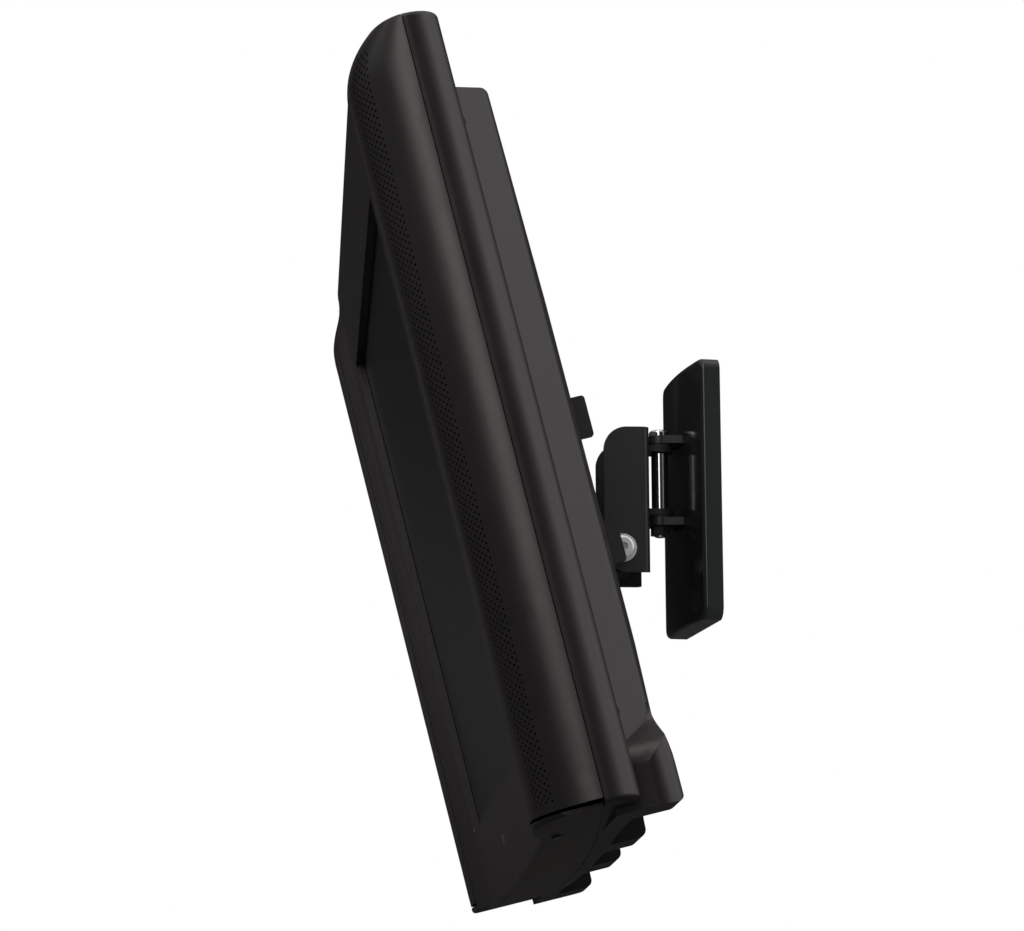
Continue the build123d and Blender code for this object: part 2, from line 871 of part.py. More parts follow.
def cover_screws():
    """Screws that hold the two shells together."""
    group = []
    seat = slab_depth - cover_screw_sink
    for x, z in cover_screw_places():
        shank = rod(cover_screw_radius, (x, seam_depth - screw_grip, z), seat - seam_depth + screw_grip, (0, 1, 0))
        head = rod(cover_screw_head_radius, (x, seat, z), cover_screw_head, (0, 1, 0))
        head = fillet(head.edges().sort_by(Axis.Y)[-1], 1.0)
        group.append(shank + head - cross_slot(cover_screw_head_radius, x, seat + cover_screw_head, z))
    return group


def vesa_plate():
    """Waisted steel plate behind the set, with turned flanges and the two tilt ears."""
    front = housing_depth
    size = 2 * plate_half
    sheet = extrude(Plane.XZ.offset(-front) * RectangleRounded(size, size, plate_corner_radius), -plate_thickness)
    for s in (1, -1):
        side_at, end_at = (s * (plate_half + out) for out in plate_bite_out)
        sheet = sheet - rod(plate_side_bite, (side_at, front - 1, 0), plate_thickness + 2, (0, 1, 0))
        sheet = sheet - rod(plate_end_bite, (0, front - 1, end_at), plate_thickness + 2, (0, 1, 0))
    for sx in (1, -1):
        for sz in (1, -1):
            x = sorted((sx * (plate_half - plate_thickness), sx * plate_half))
            z = sorted((sz * flange_start, sz * (flange_start + flange_length)))
            flange = box(x, (front, front + plate_thickness + flange_reach), z)
            flange = fillet(flange.edges().filter_by(Axis.X).group_by(Axis.Y)[-1], flange_corner)
            sheet = sheet + flange
    for pitch in plate_hole_pitches:
        for sx in (1, -1):
            for sz in (1, -1):
                start = (sx * pitch / 2, front - 1, vesa_middle + sz * pitch / 2)
                sheet = sheet - rod(vesa_hole_radius, start, plate_thickness + 2, (0, 1, 0))
    return sheet + tilt_ears()


def tilt_ears():
    """The two ears of the set plate, round about the tilt axis."""
    start = housing_depth + plate_thickness - 0.5
    outer = fork_inner_half - ear_running_gap
    lines = [
        Line((start, -tilt_axis_below - ear_root / 2), (start, -tilt_axis_below + ear_root / 2)),
        Line((start, -tilt_axis_below + ear_root / 2), (start + 2, -tilt_axis_below + ear_root / 2)),
        Line((start + 2, -tilt_axis_below + ear_root / 2), (tilt_axis_behind, -tilt_axis_below + ear_end_radius)),
        ThreePointArc(
            (tilt_axis_behind, -tilt_axis_below + ear_end_radius),
            (tilt_axis_behind + ear_end_radius, -tilt_axis_below),
            (tilt_axis_behind, -tilt_axis_below - ear_end_radius),
        ),
        Line((tilt_axis_behind, -tilt_axis_below - ear_end_radius), (start + 2, -tilt_axis_below - ear_root / 2)),
        Line((start + 2, -tilt_axis_below - ear_root / 2), (start, -tilt_axis_below - ear_root / 2)),
    ]
    face = make_face(Plane.YZ * (Curve() + lines))
    bore = rod(
        tilt_bolt_radius + tilt_running_clearance,
        (-outer - 5, tilt_axis_behind, -tilt_axis_below),
        2 * outer + 10,
        (1, 0, 0),
    )
    ears = Part()
    for side in (1, -1):
        ear = Pos(side * (outer - ear_thickness / 2), 0, 0) * extrude(face, ear_thickness / 2, both=True)
        ears = ears + ear
    return ears - bore


def tilt_fork():
    """U-shaped steel fork: two cheeks and a web, with two pierced lugs behind for the pin."""
    outer = fork_inner_half + fork_sheet
    front = -pin_to_tilt_axis - fork_front
    low = tilt_axis_height - fork_under_axis
    plan = make_face(
        Polyline(
            [
                (-outer, front),
                (-outer, -fork_back),
                (outer, -fork_back),
                (outer, front),
                (fork_inner_half, front),
                (fork_inner_half, -fork_back - fork_sheet),
                (-fork_inner_half, -fork_back - fork_sheet),
                (-fork_inner_half, front),
            ],
            close=True,
        )
    )
    plan = fillet(plan.vertices().group_by(Axis.Y)[-1], fork_sheet + 0.5)
    channel = Pos(0, 0, low) * extrude(plan, fork_top - low)
    cheek = make_face(
        Plane.YZ
        * Polyline([(front, low), (front, fork_top), (0, fork_top), (0, low)], close=True)
    )
    profile = extrude(cheek, 2 * outer, both=True)
    edges = profile.edges().filter_by(Axis.X)
    profile = fillet(edges.group_by(Axis.Y)[0].sort_by(Axis.Z)[-1:], fork_top_radius)
    edges = profile.edges().filter_by(Axis.X)
    profile = fillet(edges.group_by(Axis.Y)[0].sort_by(Axis.Z)[:1], fork_bottom_radius)
    fork = channel & profile
    fork = fork - box((-fork_inner_half, fork_inner_half), (-fork_back - fork_sheet - 1, 0), (low - 1, fork_web_bottom))
    start = (-outer - 1, -pin_to_tilt_axis, tilt_axis_height)
    bore = rod(tilt_bolt_radius + seat_clearance, start, 2 * outer + 2, (1, 0, 0))
    fork = fork - bore
    for low_z, high_z in fork_lug_heights():
        fork = fork + pivot_lug(low_z, high_z, -fork_back - 0.5, lug_end_radius)
    hole = rod(pin_radius + pin_running_clearance, (0, 0, fork_web_bottom - 20), 120, (0, 0, 1))
    return fork - hole


def pivot_lug(low, high, root, radius, half=None):
    """A flat lug from a root plane to a round end about the pin."""
    half = radius if half is None else half
    side = 1 if root > 0 else -1
    lines = [
        Line((-half, root), (half, root)),
        Line((half, root), (radius, 0)),
        ThreePointArc((radius, 0), (0, -side * radius), (-radius, 0)),
        Line((-radius, 0), (-half, root)),
    ]
    return Pos(0, 0, low) * extrude(make_face(Curve() + lines), high - low)


def fork_lug_heights():
    """Height ranges of the fork's lugs, above and below the spacer barrel."""
    half = barrel_length / 2 + stack_gap / 2
    reach = fork_lug_thickness
    return [(pin_middle + half, pin_middle + half + reach), (pin_middle - half - reach, pin_middle - half)]


def bush_heights():
    """Height ranges of the two bushes."""
    start = barrel_length / 2 + stack_gap / 2 + fork_lug_thickness + stack_gap / 2
    return [
        (pin_middle + start, pin_middle + start + bush_thickness),
        (pin_middle - start - bush_thickness, pin_middle - start),
    ]


def yoke_lug_heights():
    """Height ranges of the yoke's lugs."""
    start = barrel_length / 2 + fork_lug_thickness + bush_thickness + 1.5 * stack_gap
    return [
        (pin_middle + start, pin_middle + start + lug_thickness),
        (pin_middle - start - lug_thickness, pin_middle - start),
    ]


def pivot_barrel():
    """Polished spacer tube between the fork's lugs."""
    start = (0, 0, pin_middle - barrel_length / 2)
    tube = rod(barrel_radius, start, barrel_length, (0, 0, 1))
    return tube - rod(pin_radius + pin_running_clearance, start, barrel_length, (0, 0, 1))


def pin_bushes():
    """Thrust washers between the fork and the yoke."""
    group = []
    for low, high in bush_heights():
        disc = rod(bush_radius, (0, 0, low), high - low, (0, 0, 1))
        group.append(disc - rod(pin_radius + pin_running_clearance, (0, 0, low), high - low, (0, 0, 1)))
    return group


def swivel_pin():
    """Vertical pin with a domed head on top."""
    top = yoke_lug_heights()[0][1]
    low = yoke_lug_heights()[1][0] - retainer_height - 1.0
    shank = rod(pin_radius, (0, 0, low), top - low, (0, 0, 1))
    head = rod(pin_head_radius, (0, 0, top), pin_head_height, (0, 0, 1))
    head = fillet(head.edges().sort_by(Axis.Z)[-1], 2.0)
    return shank + head


def pin_retainer():
    """Hexagon nut below the lower lug."""
    top = yoke_lug_heights()[1][0]
    nut = hexagon(retainer_flat, (0, 0, top - retainer_height), retainer_height, (0, 0, 1))
    return nut - rod(pin_radius + seat_clearance, (0, 0, top - retainer_height), retainer_height, (0, 0, 1))


def swivel_yoke():
    """Steel yoke on the base plate: a back sheet with flanges and two lugs for the pin."""
    upper, lower = yoke_lug_heights()
    front = pin_to_back - base_plate_thickness - yoke_flange_thickness
    low = lower[0] - yoke_flange_reach
    high = upper[1] + yoke_flange_reach
    back = box((-yoke_root_half, yoke_root_half), (front, front + yoke_flange_thickness), (low, high))
    back = fillet(back.edges().filter_by(Axis.Y), 3)
    yoke = back
    for a, b in (upper, lower):
        yoke = yoke + pivot_lug(a, b, front + 0.5, lug_end_radius, yoke_root_half)
    yoke = yoke - rod(pin_radius + seat_clearance, (0, 0, low), high - low, (0, 0, 1))
    for x, z in yoke_screw_places():
        yoke = yoke - rod(yoke_screw_radius + 0.1, (x, front - 1, z), 10, (0, 1, 0))
    return yoke


def yoke_screw_places():
    """Four screws through the yoke's flanges."""
    upper, lower = yoke_lug_heights()
    edge = yoke_flange_reach / 2 + 0.5
    sides = (-yoke_screw_half_spacing, yoke_screw_half_spacing)
    return [(x, z) for x in sides for z in (upper[1] + edge, lower[0] - edge)]


def yoke_screws():
    """Screws that hold the yoke on the base plate."""
    group = []
    front = pin_to_back - base_plate_thickness - yoke_flange_thickness
    depth = yoke_flange_thickness + base_plate_thickness - 0.4
    for x, z in yoke_screw_places():
        shank = rod(yoke_screw_radius, (x, front, z), depth, (0, 1, 0))
        head = rod(yoke_screw_head_radius, (x, front - yoke_screw_head_height, z), yoke_screw_head_height, (0, 1, 0))
        head = fillet(head.edges().sort_by(Axis.Y)[0], 1.0)
        group.append(shank + head - cross_slot(yoke_screw_head_radius, x, front - yoke_screw_head_height, z))
    return group


def wall_hole_places():
    """The four wall fixings."""
    return [(sx * wall_hole_spacing_x / 2, sz * wall_hole_spacing_z / 2) for sx in (1, -1) for sz in (1, -1)]


def wall_base_plate():
    """Steel plate against the wall."""
    inset = cover_wall + base_plate_margin
    width = cover_width - 2 * inset
    height = cover_height - 2 * inset
    radius = cover_corner_radius - cover_wall
    plate = extrude(Plane.XZ.offset(-pin_to_back) * RectangleRounded(width, height, radius), base_plate_thickness)
    for x, z in wall_hole_places():
        plate = plate - rod(wall_hole_radius, (x, 0, z), 100, (0, 1, 0))
    for x, z in yoke_screw_places():
        plate = plate - rod(yoke_screw_radius + seat_clearance, (x, 0, z), 100, (0, 1, 0))
    return plate


def cover_form(inset):
    """Crowned front form of the cover, as a solid block."""
    half = cover_width / 2
    crown = cover_depth_middle - cover_depth_side
    radius = (half ** 2 + crown ** 2) / (2 * crown)
    reach = half + cover_edge_radius
    middle = pin_to_back - cover_depth_middle + inset
    edge = middle + radius - math.sqrt(radius ** 2 - reach ** 2)
    lines = [
        Line((-reach, pin_to_back), (-reach, edge)),
        ThreePointArc((-reach, edge), (0, middle), (reach, edge)),
        Line((reach, edge), (reach, pin_to_back)),
        Line((reach, pin_to_back), (-reach, pin_to_back)),
    ]
    form = extrude(make_face(Curve() + lines), cover_height, both=True)
    outline = RectangleRounded(cover_width - 2 * inset, cover_height - 2 * inset, cover_corner_radius - inset)
    return form & extrude(Plane.XZ * outline, 2 * pin_to_back, both=True)


def wall_cover():
    """Moulded cover over the base plate, with a slot for each lug of the yoke."""
    outer = cover_form(0)
    front = outer.faces().sort_by(Axis.Y)[0]
    outer = fillet(front.edges(), cover_edge_radius)
    shell = outer - cover_form(cover_wall)
    root = pin_to_back - base_plate_thickness - yoke_flange_thickness
    gap = cover_slot_clearance
    for low, high in yoke_lug_heights():
        shell = shell - pivot_lug(low - gap, high + gap, root, lug_end_radius + gap, yoke_root_half + gap)
    return shell


def tilt_bolt():
    """Button-head bolt on the tilt axis, with a hexagon socket."""
    start = fork_inner_half + fork_sheet + washer_thickness
    length = 2 * start + tilt_nut_height + 2
    at = (-start - tilt_nut_height - 2, -pin_to_tilt_axis, tilt_axis_height)
    shank = rod(tilt_bolt_radius, at, length, (1, 0, 0))
    head = rod(tilt_head_radius, (start, -pin_to_tilt_axis, tilt_axis_height), tilt_head_height, (1, 0, 0))
    head = fillet(head.edges().sort_by(Axis.X)[-1], tilt_head_height * 0.6)
    top = start + tilt_head_height - tilt_socket_depth
    socket = hexagon(tilt_socket_flat, (top, -pin_to_tilt_axis, tilt_axis_height), tilt_socket_depth + 1, (1, 0, 0))
    return shank + head - socket


def tilt_nut():
    """Nut on the far end of the tilt bolt."""
    start = fork_inner_half + fork_sheet + washer_thickness
    at = (-start - tilt_nut_height, -pin_to_tilt_axis, tilt_axis_height)
    nut = hexagon(tilt_nut_flat, at, tilt_nut_height, (1, 0, 0))
    return nut - rod(tilt_bolt_radius + seat_clearance, at, tilt_nut_height, (1, 0, 0))


def tilt_washers():
    """Washers under the bolt's head and nut."""
    group = []
    start = fork_inner_half + fork_sheet
    for x in (start, -start - washer_thickness):
        at = (x, -pin_to_tilt_axis, tilt_axis_height)
        disc = rod(washer_radius, at, washer_thickness, (1, 0, 0))
        group.append(disc - rod(tilt_bolt_radius + seat_clearance, at, washer_thickness, (1, 0, 0)))
    return group


def place_wall(solid):
    """From the pin's frame to the row frame."""
    return Pos(0, -pin_to_back, 0) * solid


def place_head(solid):
    """From the pin's frame to the row frame, swung about the pin."""
    return Pos(0, -pin_to_back, 0) * Rot(0, 0, swivel_rest) * solid


def place_set(solid):
    """From the set's own frame to the row frame: tilted about its axis, then swung with the head."""
    tilted = Pos(0, -pin_to_tilt_axis, tilt_axis_height) * Rot(tilt_rest, 0, 0)
    return Pos(0, -pin_to_back, 0) * Rot(0, 0, swivel_rest) * tilted * Pos(0, -tilt_axis_behind, tilt_axis_below) * solid


def save(name, solids, place):
    """Write one node, as one solid or a group of separate ones."""
    group = solids if isinstance(solids, list) else [solids]
    placed = [place(item) for item in group]
    children = [s for item in placed for s in item.solids()]
    shape = children[0] if len(children) == 1 else Compound(children)
    export_step(shape, os.path.join("parts", name + ".step"))


def main():
    """Build every piece and write it."""
    os.makedirs("parts", exist_ok=True)
    save("wall_base_plate", wall_base_plate(), place_wall)
    save("wall_cover", wall_cover(), place_wall)
    save("swivel_yoke", swivel_yoke(), place_wall)
    save("yoke_screws", yoke_screws(), place_wall)
    save("swivel_pin", swivel_pin(), place_wall)
    save("pin_retainer", pin_retainer(), place_wall)
    save("tilt_fork", tilt_fork(), place_head)
    save("pivot_barrel", pivot_barrel(), place_head)
    save("pin_bushes", pin_bushes(), place_head)
    save("tilt_bolt", tilt_bolt(), place_head)
    save("tilt_nut", tilt_nut(), place_head)
    save("tilt_washers", tilt_washers(), place_head)
    save("vesa_plate", vesa_plate(), place_set)
    save("vesa_screws", vesa_screws(), place_set)
    save("vesa_inserts", vesa_inserts(), place_set)
    block = body_block()
    cavity = body_cavity()
    save("speaker_cover_left", speaker_cover(block, cavity, -1), place_set)
    save("speaker_cover_right", speaker_cover(block, cavity, 1), place_set)
    save("front_bezel", front_bezel(block, cavity, seam_tongue()), place_set)
    save("rear_cover", rear_cover(block, cavity), place_set)
    save("lcd_panel", lcd_panel(), place_set)
    save("panel_chassis", panel_chassis(), place_set)
    save("main_board", circuit_board(0), place_set)
    save("power_board", circuit_board(1), place_set)
    save("speaker_driver_left", speaker_driver(-1), place_set)
    save("speaker_driver_right", speaker_driver(1), place_set)
    save("connector_plate", connector_plate(), place_set)
    save("signal_sockets", signal_sockets(), place_set)
    save("power_inlet", power_inlet(), place_set)
    save("cover_screws", cover_screws(), place_set)
    save("indicator_window", indicator_window(), place_set)
    save("power_button", power_key(), place_set)
    for number, x in enumerate(key_places(), start=1):
        save(f"top_key_{number}", top_key(x), place_set)


main()
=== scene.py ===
"""Looks of a flat-panel television on a tilt and swivel wall bracket."""

from __future__ import annotations

import logging
import math
from dataclasses import dataclass, field
from enum import Enum
from typing import Iterable

import bmesh
import bpy
from mathutils import Matrix, Vector


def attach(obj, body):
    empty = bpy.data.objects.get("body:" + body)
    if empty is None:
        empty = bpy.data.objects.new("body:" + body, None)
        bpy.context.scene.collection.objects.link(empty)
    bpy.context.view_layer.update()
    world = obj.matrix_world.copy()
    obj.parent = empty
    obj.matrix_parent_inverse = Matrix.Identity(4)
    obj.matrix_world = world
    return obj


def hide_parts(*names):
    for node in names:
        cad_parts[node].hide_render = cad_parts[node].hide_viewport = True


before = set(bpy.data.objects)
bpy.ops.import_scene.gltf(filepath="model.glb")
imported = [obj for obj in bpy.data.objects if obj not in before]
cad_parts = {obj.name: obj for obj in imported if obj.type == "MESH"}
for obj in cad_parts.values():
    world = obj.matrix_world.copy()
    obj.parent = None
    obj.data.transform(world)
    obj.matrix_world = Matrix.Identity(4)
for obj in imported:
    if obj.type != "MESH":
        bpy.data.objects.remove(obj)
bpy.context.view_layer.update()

LOG = logging.getLogger("television")
MM = 0.001
IMAGE_WIDTH = 1024
SENSOR_WIDTH = 36.0
FOCAL_PIXELS = 3406.4
CREASE_ANGLE = 30.0
MERGE_DISTANCE = 0.000001
NOISE_MEAN = 0.5


class Value:
    """A number or vector that a node gives, with arithmetic that adds Math nodes."""

    def __init__(self, graph: Graph, socket: bpy.types.NodeSocket) -> None:
        """Wrap one output socket of a graph."""
        self.graph = graph
        self.socket = socket

    def math(
        self, operation: str, *others: Value | float, first: Value | float | None = None
    ) -> Value:
        """Add a Math node.

        Args:
            operation: Name of the operation.
            others: The inputs after this one.
            first: An input that goes before this one, for the reflected forms.

        Returns:
            The result of the operation.
        """
        terms = [self, *others] if first is None else [first, self]
        inputs = dict(enumerate(terms))
        return self.graph.node("ShaderNodeMath", {"operation": operation}, inputs).out(0)

    def __add__(self, other: Value | float) -> Value:
        """Sum with another value."""
        return self.math("ADD", other)

    def __radd__(self, other: Value | float) -> Value:
        """Sum with a value on the left."""
        return self.math("ADD", first=other)

    def __sub__(self, other: Value | float) -> Value:
        """Difference to another value."""
        return self.math("SUBTRACT", other)

    def __rsub__(self, other: Value | float) -> Value:
        """Difference from a value on the left."""
        return self.math("SUBTRACT", first=other)

    def __mul__(self, other: Value | float) -> Value:
        """Product with another value."""
        return self.math("MULTIPLY", other)

    def clamped(self, low: float, high: float) -> Value:
        """Limit to a range."""
        return self.math("MAXIMUM", low).math("MINIMUM", high)


class Made:
    """A node that was added to a graph."""

    def __init__(self, graph: Graph, node: bpy.types.Node) -> None:
        """Wrap one node."""
        self.graph = graph
        self.node = node

    def out(self, key: int | str) -> Value:
        """One output of the node, by number or name."""
        return Value(self.graph, self.node.outputs[key])


class Graph:
    """A node tree under construction."""

    def __init__(self, tree: bpy.types.NodeTree) -> None:
        """Start on an empty tree."""
        self.tree = tree
        tree.nodes.clear()

    def node(self, kind: str, settings: dict | None = None, inputs: dict | None = None) -> Made:
        """Add one node.

        Args:
            kind: Type of the node.
            settings: Attributes of the node, set first; stops gives a ramp's stops.
            inputs: Values or links of its sockets, by number or name.

        Returns:
            The new node.
        """
        made = self.tree.nodes.new(kind)
        for name, value in (settings or {}).items():
            if name == "stops":
                self._stops(made.color_ramp, value)
            else:
                setattr(made, name, value)
        for key, value in (inputs or {}).items():
            self._feed(made.inputs[key], value)
        return Made(self, made)

    def _stops(self, ramp: bpy.types.ColorRamp, stops: tuple[tuple[float, float], ...]) -> None:
        """Set a ramp's stops.

        Args:
            ramp: The ramp of a node.
            stops: Pairs of place and grey level.
        """
        while len(ramp.elements) < len(stops):
            ramp.elements.new(1.0)
        for element, (place, level) in zip(ramp.elements, stops):
            element.position = place
            element.color = (level, level, level, 1.0)

    def _feed(self, socket: bpy.types.NodeSocket, value: object) -> None:
        """Link or set one input socket.

        Args:
            socket: The input.
            value: A value of this graph to link, or a plain number, colour or vector.
        """
        if isinstance(value, Value):
            self.tree.links.new(value.socket, socket)
        elif isinstance(value, tuple) and socket.type == "RGBA":
            socket.default_value = (*value[:3], 1.0)
        else:
            socket.default_value = value

    def place(self) -> Value:
        """Object coordinates."""
        return self.node("ShaderNodeTexCoord").out("Object")

    def noise(
        self, place: Value, scale: float, detail: float = 2.0, roughness: float = 0.5
    ) -> Value:
        """Noise from 0 to 1.

        Args:
            place: Where it is read.
            scale: Waves a metre.
            detail: Octaves.
            roughness: Weight of the finer octaves.

        Returns:
            The noise.
        """
        inputs = {"Vector": place, "Scale": scale, "Detail": detail, "Roughness": roughness}
        return self.node("ShaderNodeTexNoise", inputs=inputs).out(0)

    def colour(self, factor: Value, low: Value | tuple, high: tuple) -> Value:
        """Blend of two colours, from low at 0 to high at 1."""
        inputs = {"Factor": factor, 6: low, 7: high}
        return self.node("ShaderNodeMix", {"data_type": "RGBA"}, inputs).out(2)

    def bump(self, height: Value, distance: float, strength: float) -> Value:
        """Normal from a height, with its distance in metres."""
        inputs = {"Height": height, "Distance": distance, "Strength": strength}
        return self.node("ShaderNodeBump", inputs=inputs).out(0)

    def soft_step(self, value: Value, start: float, end: float, top: float = 1.0) -> Value:
        """Smooth step from 0 at start to top at end."""
        inputs = {"Value": value, "From Min": start, "From Max": end, "To Max": top}
        return self.node("ShaderNodeMapRange", {"interpolation_type": "SMOOTHSTEP"}, inputs).out(0)

    def principled(self, inputs: dict[str, object]) -> Value:
        """Principled shader with these inputs."""
        return self.node("ShaderNodeBsdfPrincipled", inputs=inputs).out(0)


@dataclass(frozen=True)
class Finish:
    """What every finish has: a name and a way to become a material."""

    name: str

    def material(self) -> bpy.types.Material:
        """Build the material.

        Returns:
            The new material, under the finish's name.
        """
        made = bpy.data.materials.new(self.name)
        made.use_nodes = True
        graph = Graph(made.node_tree)
        shader = self.shade(graph)
        graph.node("ShaderNodeOutputMaterial", inputs={0: shader})
        return made

    def shade(self, graph: Graph) -> Value:
        """Add the shader's nodes; each finish has its own."""
        raise NotImplementedError


@dataclass(frozen=True)
class MouldedPlastic(Finish):
    """Moulded plastic with a fine spark-eroded grain and a slightly uneven gloss."""

    colour: tuple = (0.0056, 0.0048, 0.0044)
    pale: tuple = (0.0084, 0.0073, 0.0068)
    roughness: float = 0.35
    spread: float = 0.08
    grain: float = 2600.0
    grain_depth: float = 0.00002
    specular: float = 0.45
    mottle: float = 28.0
    mottle_share: float = 0.7
    grain_strength: float = 0.6

    def shade(self, graph: Graph) -> Value:
        """Colour mottle, uneven gloss and grain.

        Args:
            graph: The material's empty tree.

        Returns:
            The shader.
        """
        place = graph.place()
        broad = graph.noise(place, self.mottle, detail=3.0)
        fine = graph.noise(place, self.grain, detail=2.0, roughness=0.6)
        blend = broad * self.mottle_share + fine * (1.0 - self.mottle_share)
        tone = graph.colour(blend, self.colour, self.pale)
        scatter = (broad - NOISE_MEAN) * self.spread + (fine - NOISE_MEAN) * self.spread
        inputs = {
            "Base Color": tone,
            "Roughness": scatter + self.roughness,
            "Specular IOR Level": self.specular,
            "Normal": graph.bump(fine, self.grain_depth, self.grain_strength),
        }
        return graph.principled(inputs)


@dataclass(frozen=True)
class DisplayFilm(Finish):
    """Dark anti-glare film of the screen, with its fine sparkle."""

    colour: tuple = (0.0030, 0.0040, 0.0048)
    pale: tuple = (0.0046, 0.0060, 0.0070)
    roughness: float = 0.30
    specular: float = 0.16
    sparkle: float = 4200.0
    sparkle_spread: float = 0.06
    sparkle_share: float = 0.5
    sparkle_depth: float = 0.000006
    sparkle_strength: float = 0.5
    drift: float = 6.0

    def shade(self, graph: Graph) -> Value:
        """Film with fine sparkle.

        Args:
            graph: The material's empty tree.

        Returns:
            The shader.
        """
        place = graph.place()
        sparkle = graph.noise(place, self.sparkle, detail=1.0)
        drift = graph.noise(place, self.drift)
        blend = sparkle * self.sparkle_share + drift * (1.0 - self.sparkle_share)
        tone = graph.colour(blend, self.colour, self.pale)
        inputs = {
            "Base Color": tone,
            "Roughness": (sparkle - NOISE_MEAN) * self.sparkle_spread + self.roughness,
            "Specular IOR Level": self.specular,
            "Normal": graph.bump(sparkle, self.sparkle_depth, self.sparkle_strength),
        }
        return graph.principled(inputs)


@dataclass(frozen=True)
class PowderCoat(Finish):
    """Black powder coat on steel, with its orange-peel skin."""

    colour: tuple = (0.0138, 0.0144, 0.0140)
    pale: tuple = (0.0165, 0.0172, 0.0168)
    roughness: float = 0.38
    spread: float = 0.10
    peel: float = 420.0
    peel_share: float = 0.8
    peel_depth: float = 0.00004
    peel_strength: float = 0.5
    speck: float = 3000.0
    specular: float = 0.55

    def shade(self, graph: Graph) -> Value:
        """Coat with peel and fine speckle.

        Args:
            graph: The material's empty tree.

        Returns:
            The shader.
        """
        place = graph.place()
        peel = graph.noise(place, self.peel)
        speck = graph.noise(place, self.speck, detail=1.0)
        height = peel * self.peel_share + speck * (1.0 - self.peel_share)
        tone = graph.colour(speck, self.colour, self.pale)
        inputs = {
            "Base Color": tone,
            "Roughness": (peel - NOISE_MEAN) * self.spread + self.roughness,
            "Specular IOR Level": self.specular,
            "Normal": graph.bump(height, self.peel_depth, self.peel_strength),
        }
        return graph.principled(inputs)


@dataclass(frozen=True)
class PlatedMetal(Finish):
    """Polished or plated metal with fine turning marks and cloudy spots."""

    colour: tuple
    dull: tuple
    roughness: float
    spread: float
    metallic: float = 1.0
    marks: float = 1500.0
    mark_stretch: tuple = (0.15, 0.15, 1.0)
    mark_depth: float = 0.00001
    mark_strength: float = 0.4
    cloud: float = 160.0

    def shade(self, graph: Graph) -> Value:
        """Metal with marks along its turning.

        Args:
            graph: The material's empty tree.

        Returns:
            The shader.
        """
        place = graph.place()
        mapping = {"Vector": place, "Scale": self.mark_stretch}
        stretched = graph.node("ShaderNodeMapping", inputs=mapping).out(0)
        marks = graph.noise(stretched, self.marks)
        cloud = graph.noise(place, self.cloud, detail=3.0)
        tone = graph.colour(cloud, self.dull, self.colour)
        scatter = (marks - NOISE_MEAN) * self.spread + (cloud - NOISE_MEAN) * self.spread
        inputs = {
            "Base Color": tone,
            "Metallic": self.metallic,
            "Roughness": scatter + self.roughness,
            "Normal": graph.bump(marks, self.mark_depth, self.mark_strength),
        }
        return graph.principled(inputs)


@dataclass(frozen=True)
class CircuitBoard(Finish):
    """Green lacquered board with paler tracks."""

    lacquer: tuple = (0.006, 0.055, 0.020)
    track: tuple = (0.012, 0.110, 0.040)
    roughness: float = 0.35
    web_scale: float = 160.0
    web_stops: tuple = ((0.04, 1.0), (0.09, 0.0))
    web_depth: float = 0.00003
    web_strength: float = 0.6

    def shade(self, graph: Graph) -> Value:
        """Lacquer over a web of tracks.

        Args:
            graph: The material's empty tree.

        Returns:
            The shader.
        """
        place = graph.place()
        cells = graph.node(
            "ShaderNodeTexVoronoi",
            {"feature": "DISTANCE_TO_EDGE", "distance": "EUCLIDEAN"},
            {"Vector": place, "Scale": self.web_scale},
        ).out(0)
        web = graph.node("ShaderNodeValToRGB", {"stops": self.web_stops}, {0: cells}).out(0)
        inputs = {
            "Base Color": graph.colour(web, self.lacquer, self.track),
            "Roughness": self.roughness,
            "Normal": graph.bump(web, self.web_depth, self.web_strength),
        }
        return graph.principled(inputs)


@dataclass(frozen=True)
class PaleFloor(Finish):
    """Plain pale floor that keeps a shadow, and stays dark in the object's gloss."""

    colour: tuple = (0.80, 0.80, 0.80)
    pale: tuple = (0.82, 0.82, 0.82)
    mirrored: tuple = (0.012, 0.011, 0.010)
    roughness: float = 0.9
    cloud: float = 3.0

    def shade(self, graph: Graph) -> Value:
        """Matt floor with a faint cloud.

        Args:
            graph: The material's empty tree.

        Returns:
            The shader.
        """
        cloud = graph.noise(graph.place(), self.cloud)
        tone = graph.colour(cloud, self.colour, self.pale)
        glossy = graph.node("ShaderNodeLightPath").out("Is Glossy Ray")
        tone = graph.colour(glossy, tone, self.mirrored)
        inputs = {"Base Color": tone, "Roughness": self.roughness}
        return graph.principled(inputs)


